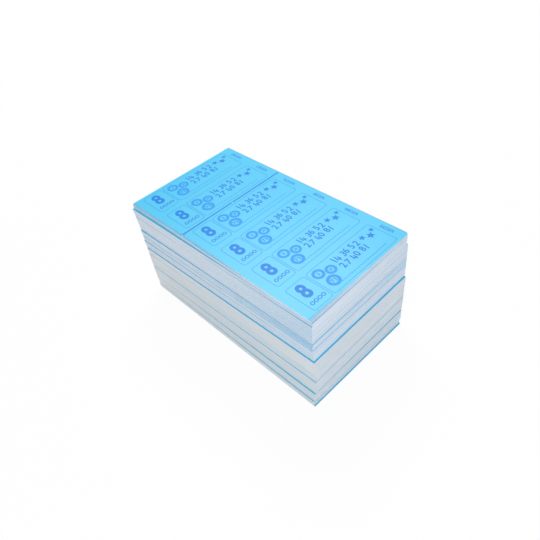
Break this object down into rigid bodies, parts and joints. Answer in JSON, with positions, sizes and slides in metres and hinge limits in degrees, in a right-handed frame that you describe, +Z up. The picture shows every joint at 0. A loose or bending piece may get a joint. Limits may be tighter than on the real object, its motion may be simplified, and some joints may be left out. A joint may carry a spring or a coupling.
{
  "type": "stack of bingo ticket books",
  "caption": "Stack of bingo ticket books with blue covers over white game sheets, glued along an edge; the top book leafs open and the bundles lift off.",
  "frame": {"origin": "middle of the underside of the stack, on the surface it stands on", "axes": "+X along the row of tickets, +Y across the sheets from the loose edge of the top book to its glued edge, +Z up"},
  "size_m": [0.2835, 0.1585, 0.1405],
  "materials": {
    "cover_paper": "matte",
    "game_paper": "matte",
    "padding_glue": "satin"
  },
  "bodies": {
    "bundle_01": {"base_sheet": "cover_paper", "bundle_01_pages": "game_paper", "bundle_01_covers": "cover_paper", "bundle_01_glue": "padding_glue"},
    "bundle_02": {"bundle_02_pages": "game_paper", "bundle_02_covers": "cover_paper", "bundle_02_glue": "padding_glue"},
    "bundle_03": {"bundle_03_pages": "game_paper", "bundle_03_covers": "cover_paper", "bundle_03_glue": "padding_glue"},
    "bundle_04": {"bundle_04_pages": "game_paper", "bundle_04_covers": "cover_paper", "bundle_04_glue": "padding_glue"},
    "bundle_05": {"bundle_05_pages": "game_paper", "bundle_05_covers": "cover_paper", "bundle_05_glue": "padding_glue"},
    "bundle_06": {"bundle_06_pages": "game_paper", "bundle_06_covers": "cover_paper", "bundle_06_glue": "padding_glue"},
    "bundle_07": {"bundle_07_pages": "game_paper", "bundle_07_covers": "cover_paper", "bundle_07_glue": "padding_glue"},
    "bundle_08": {"bundle_08_pages": "game_paper", "bundle_08_covers": "cover_paper", "bundle_08_glue": "padding_glue"},
    "bundle_09": {"bundle_09_pages": "game_paper", "bundle_09_covers": "cover_paper", "bundle_09_glue": "padding_glue"},
    "bundle_10": {"bundle_10_pages": "game_paper", "bundle_10_covers": "cover_paper", "bundle_10_glue": "padding_glue"},
    "bundle_11": {"bundle_11_pages": "game_paper", "bundle_11_covers": "cover_paper", "bundle_11_glue": "padding_glue"},
    "top_book": {"top_book_glue": "padding_glue", "game_sheet_8": "game_paper"},
    "cover_leaf": {"top_cover": "cover_paper"},
    "leaf_1": {"game_sheet_1": "game_paper"},
    "leaf_2": {"game_sheet_2": "game_paper"},
    "leaf_3": {"game_sheet_3": "game_paper"},
    "leaf_4": {"game_sheet_4": "game_paper"},
    "leaf_5": {"game_sheet_5": "game_paper"},
    "leaf_6": {"game_sheet_6": "game_paper"},
    "leaf_7": {"game_sheet_7": "game_paper"}
  },
  "joints": [
    {"name": "bundle_02_lift", "type": "slide", "parent": "bundle_01", "child": "bundle_02", "axis": [0, 0, 1], "range_m": [0, 0.012]},
    {"name": "bundle_03_lift", "type": "slide", "parent": "bundle_02", "child": "bundle_03", "axis": [0, 0, 1], "range_m": [0, 0.012]},
    {"name": "bundle_04_lift", "type": "slide", "parent": "bundle_03", "child": "bundle_04", "axis": [0, 0, 1], "range_m": [0, 0.012]},
    {"name": "bundle_05_lift", "type": "slide", "parent": "bundle_04", "child": "bundle_05", "axis": [0, 0, 1], "range_m": [0, 0.012]},
    {"name": "bundle_06_lift", "type": "slide", "parent": "bundle_05", "child": "bundle_06", "axis": [0, 0, 1], "range_m": [0, 0.012]},
    {"name": "bundle_07_lift", "type": "slide", "parent": "bundle_06", "child": "bundle_07", "axis": [0, 0, 1], "range_m": [0, 0.012]},
    {"name": "bundle_08_lift", "type": "slide", "parent": "bundle_07", "child": "bundle_08", "axis": [0, 0, 1], "range_m": [0, 0.012]},
    {"name": "bundle_09_lift", "type": "slide", "parent": "bundle_08", "child": "bundle_09", "axis": [0, 0, 1], "range_m": [0, 0.012]},
    {"name": "bundle_10_lift", "type": "slide", "parent": "bundle_09", "child": "bundle_10", "axis": [0, 0, 1], "range_m": [0, 0.012]},
    {"name": "bundle_11_lift", "type": "slide", "parent": "bundle_10", "child": "bundle_11", "axis": [0, 0, 1], "range_m": [0, 0.012]},
    {"name": "top_book_lift", "type": "slide", "parent": "bundle_11", "child": "top_book", "axis": [0, 0, 1], "range_m": [0, 0.02]},
    {"name": "cover_turn", "type": "hinge", "parent": "top_book", "child": "cover_leaf", "pos_m": [0, 0.0765, 0.14048], "axis": [-1, 0, 0], "range_deg": [0, 168]},
    {"name": "leaf_1_turn", "type": "hinge", "parent": "top_book", "child": "leaf_1", "pos_m": [0, 0.0765, 0.1404], "axis": [-1, 0, 0], "range_deg": [0, 147]},
    {"name": "leaf_2_turn", "type": "hinge", "parent": "top_book", "child": "leaf_2", "pos_m": [0, 0.0765, 0.14032], "axis": [-1, 0, 0], "range_deg": [0, 126]},
    {"name": "leaf_3_turn", "type": "hinge", "parent": "top_book", "child": "leaf_3", "pos_m": [0, 0.0765, 0.14024], "axis": [-1, 0, 0], "range_deg": [0, 105]},
    {"name": "leaf_4_turn", "type": "hinge", "parent": "top_book", "child": "leaf_4", "pos_m": [0, 0.0765, 0.14017], "axis": [-1, 0, 0], "range_deg": [0, 84]},
    {"name": "leaf_5_turn", "type": "hinge", "parent": "top_book", "child": "leaf_5", "pos_m": [0, 0.0765, 0.14009], "axis": [-1, 0, 0], "range_deg": [0, 63]},
    {"name": "leaf_6_turn", "type": "hinge", "parent": "top_book", "child": "leaf_6", "pos_m": [0, 0.0765, 0.14001], "axis": [-1, 0, 0], "range_deg": [0, 42]},
    {"name": "leaf_7_turn", "type": "hinge", "parent": "top_book", "child": "leaf_7", "pos_m": [0, 0.0765, 0.13993], "axis": [-1, 0, 0], "range_deg": [0, 21]}
  ],
  "couplings": [
    {"joint": "leaf_1_turn", "follows": "cover_turn", "ratio": 0.875},
    {"joint": "leaf_2_turn", "follows": "cover_turn", "ratio": 0.75},
    {"joint": "leaf_3_turn", "follows": "cover_turn", "ratio": 0.625},
    {"joint": "leaf_4_turn", "follows": "cover_turn", "ratio": 0.5},
    {"joint": "leaf_5_turn", "follows": "cover_turn", "ratio": 0.375},
    {"joint": "leaf_6_turn", "follows": "cover_turn", "ratio": 0.25},
    {"joint": "leaf_7_turn", "follows": "cover_turn", "ratio": 0.125}
  ]
}
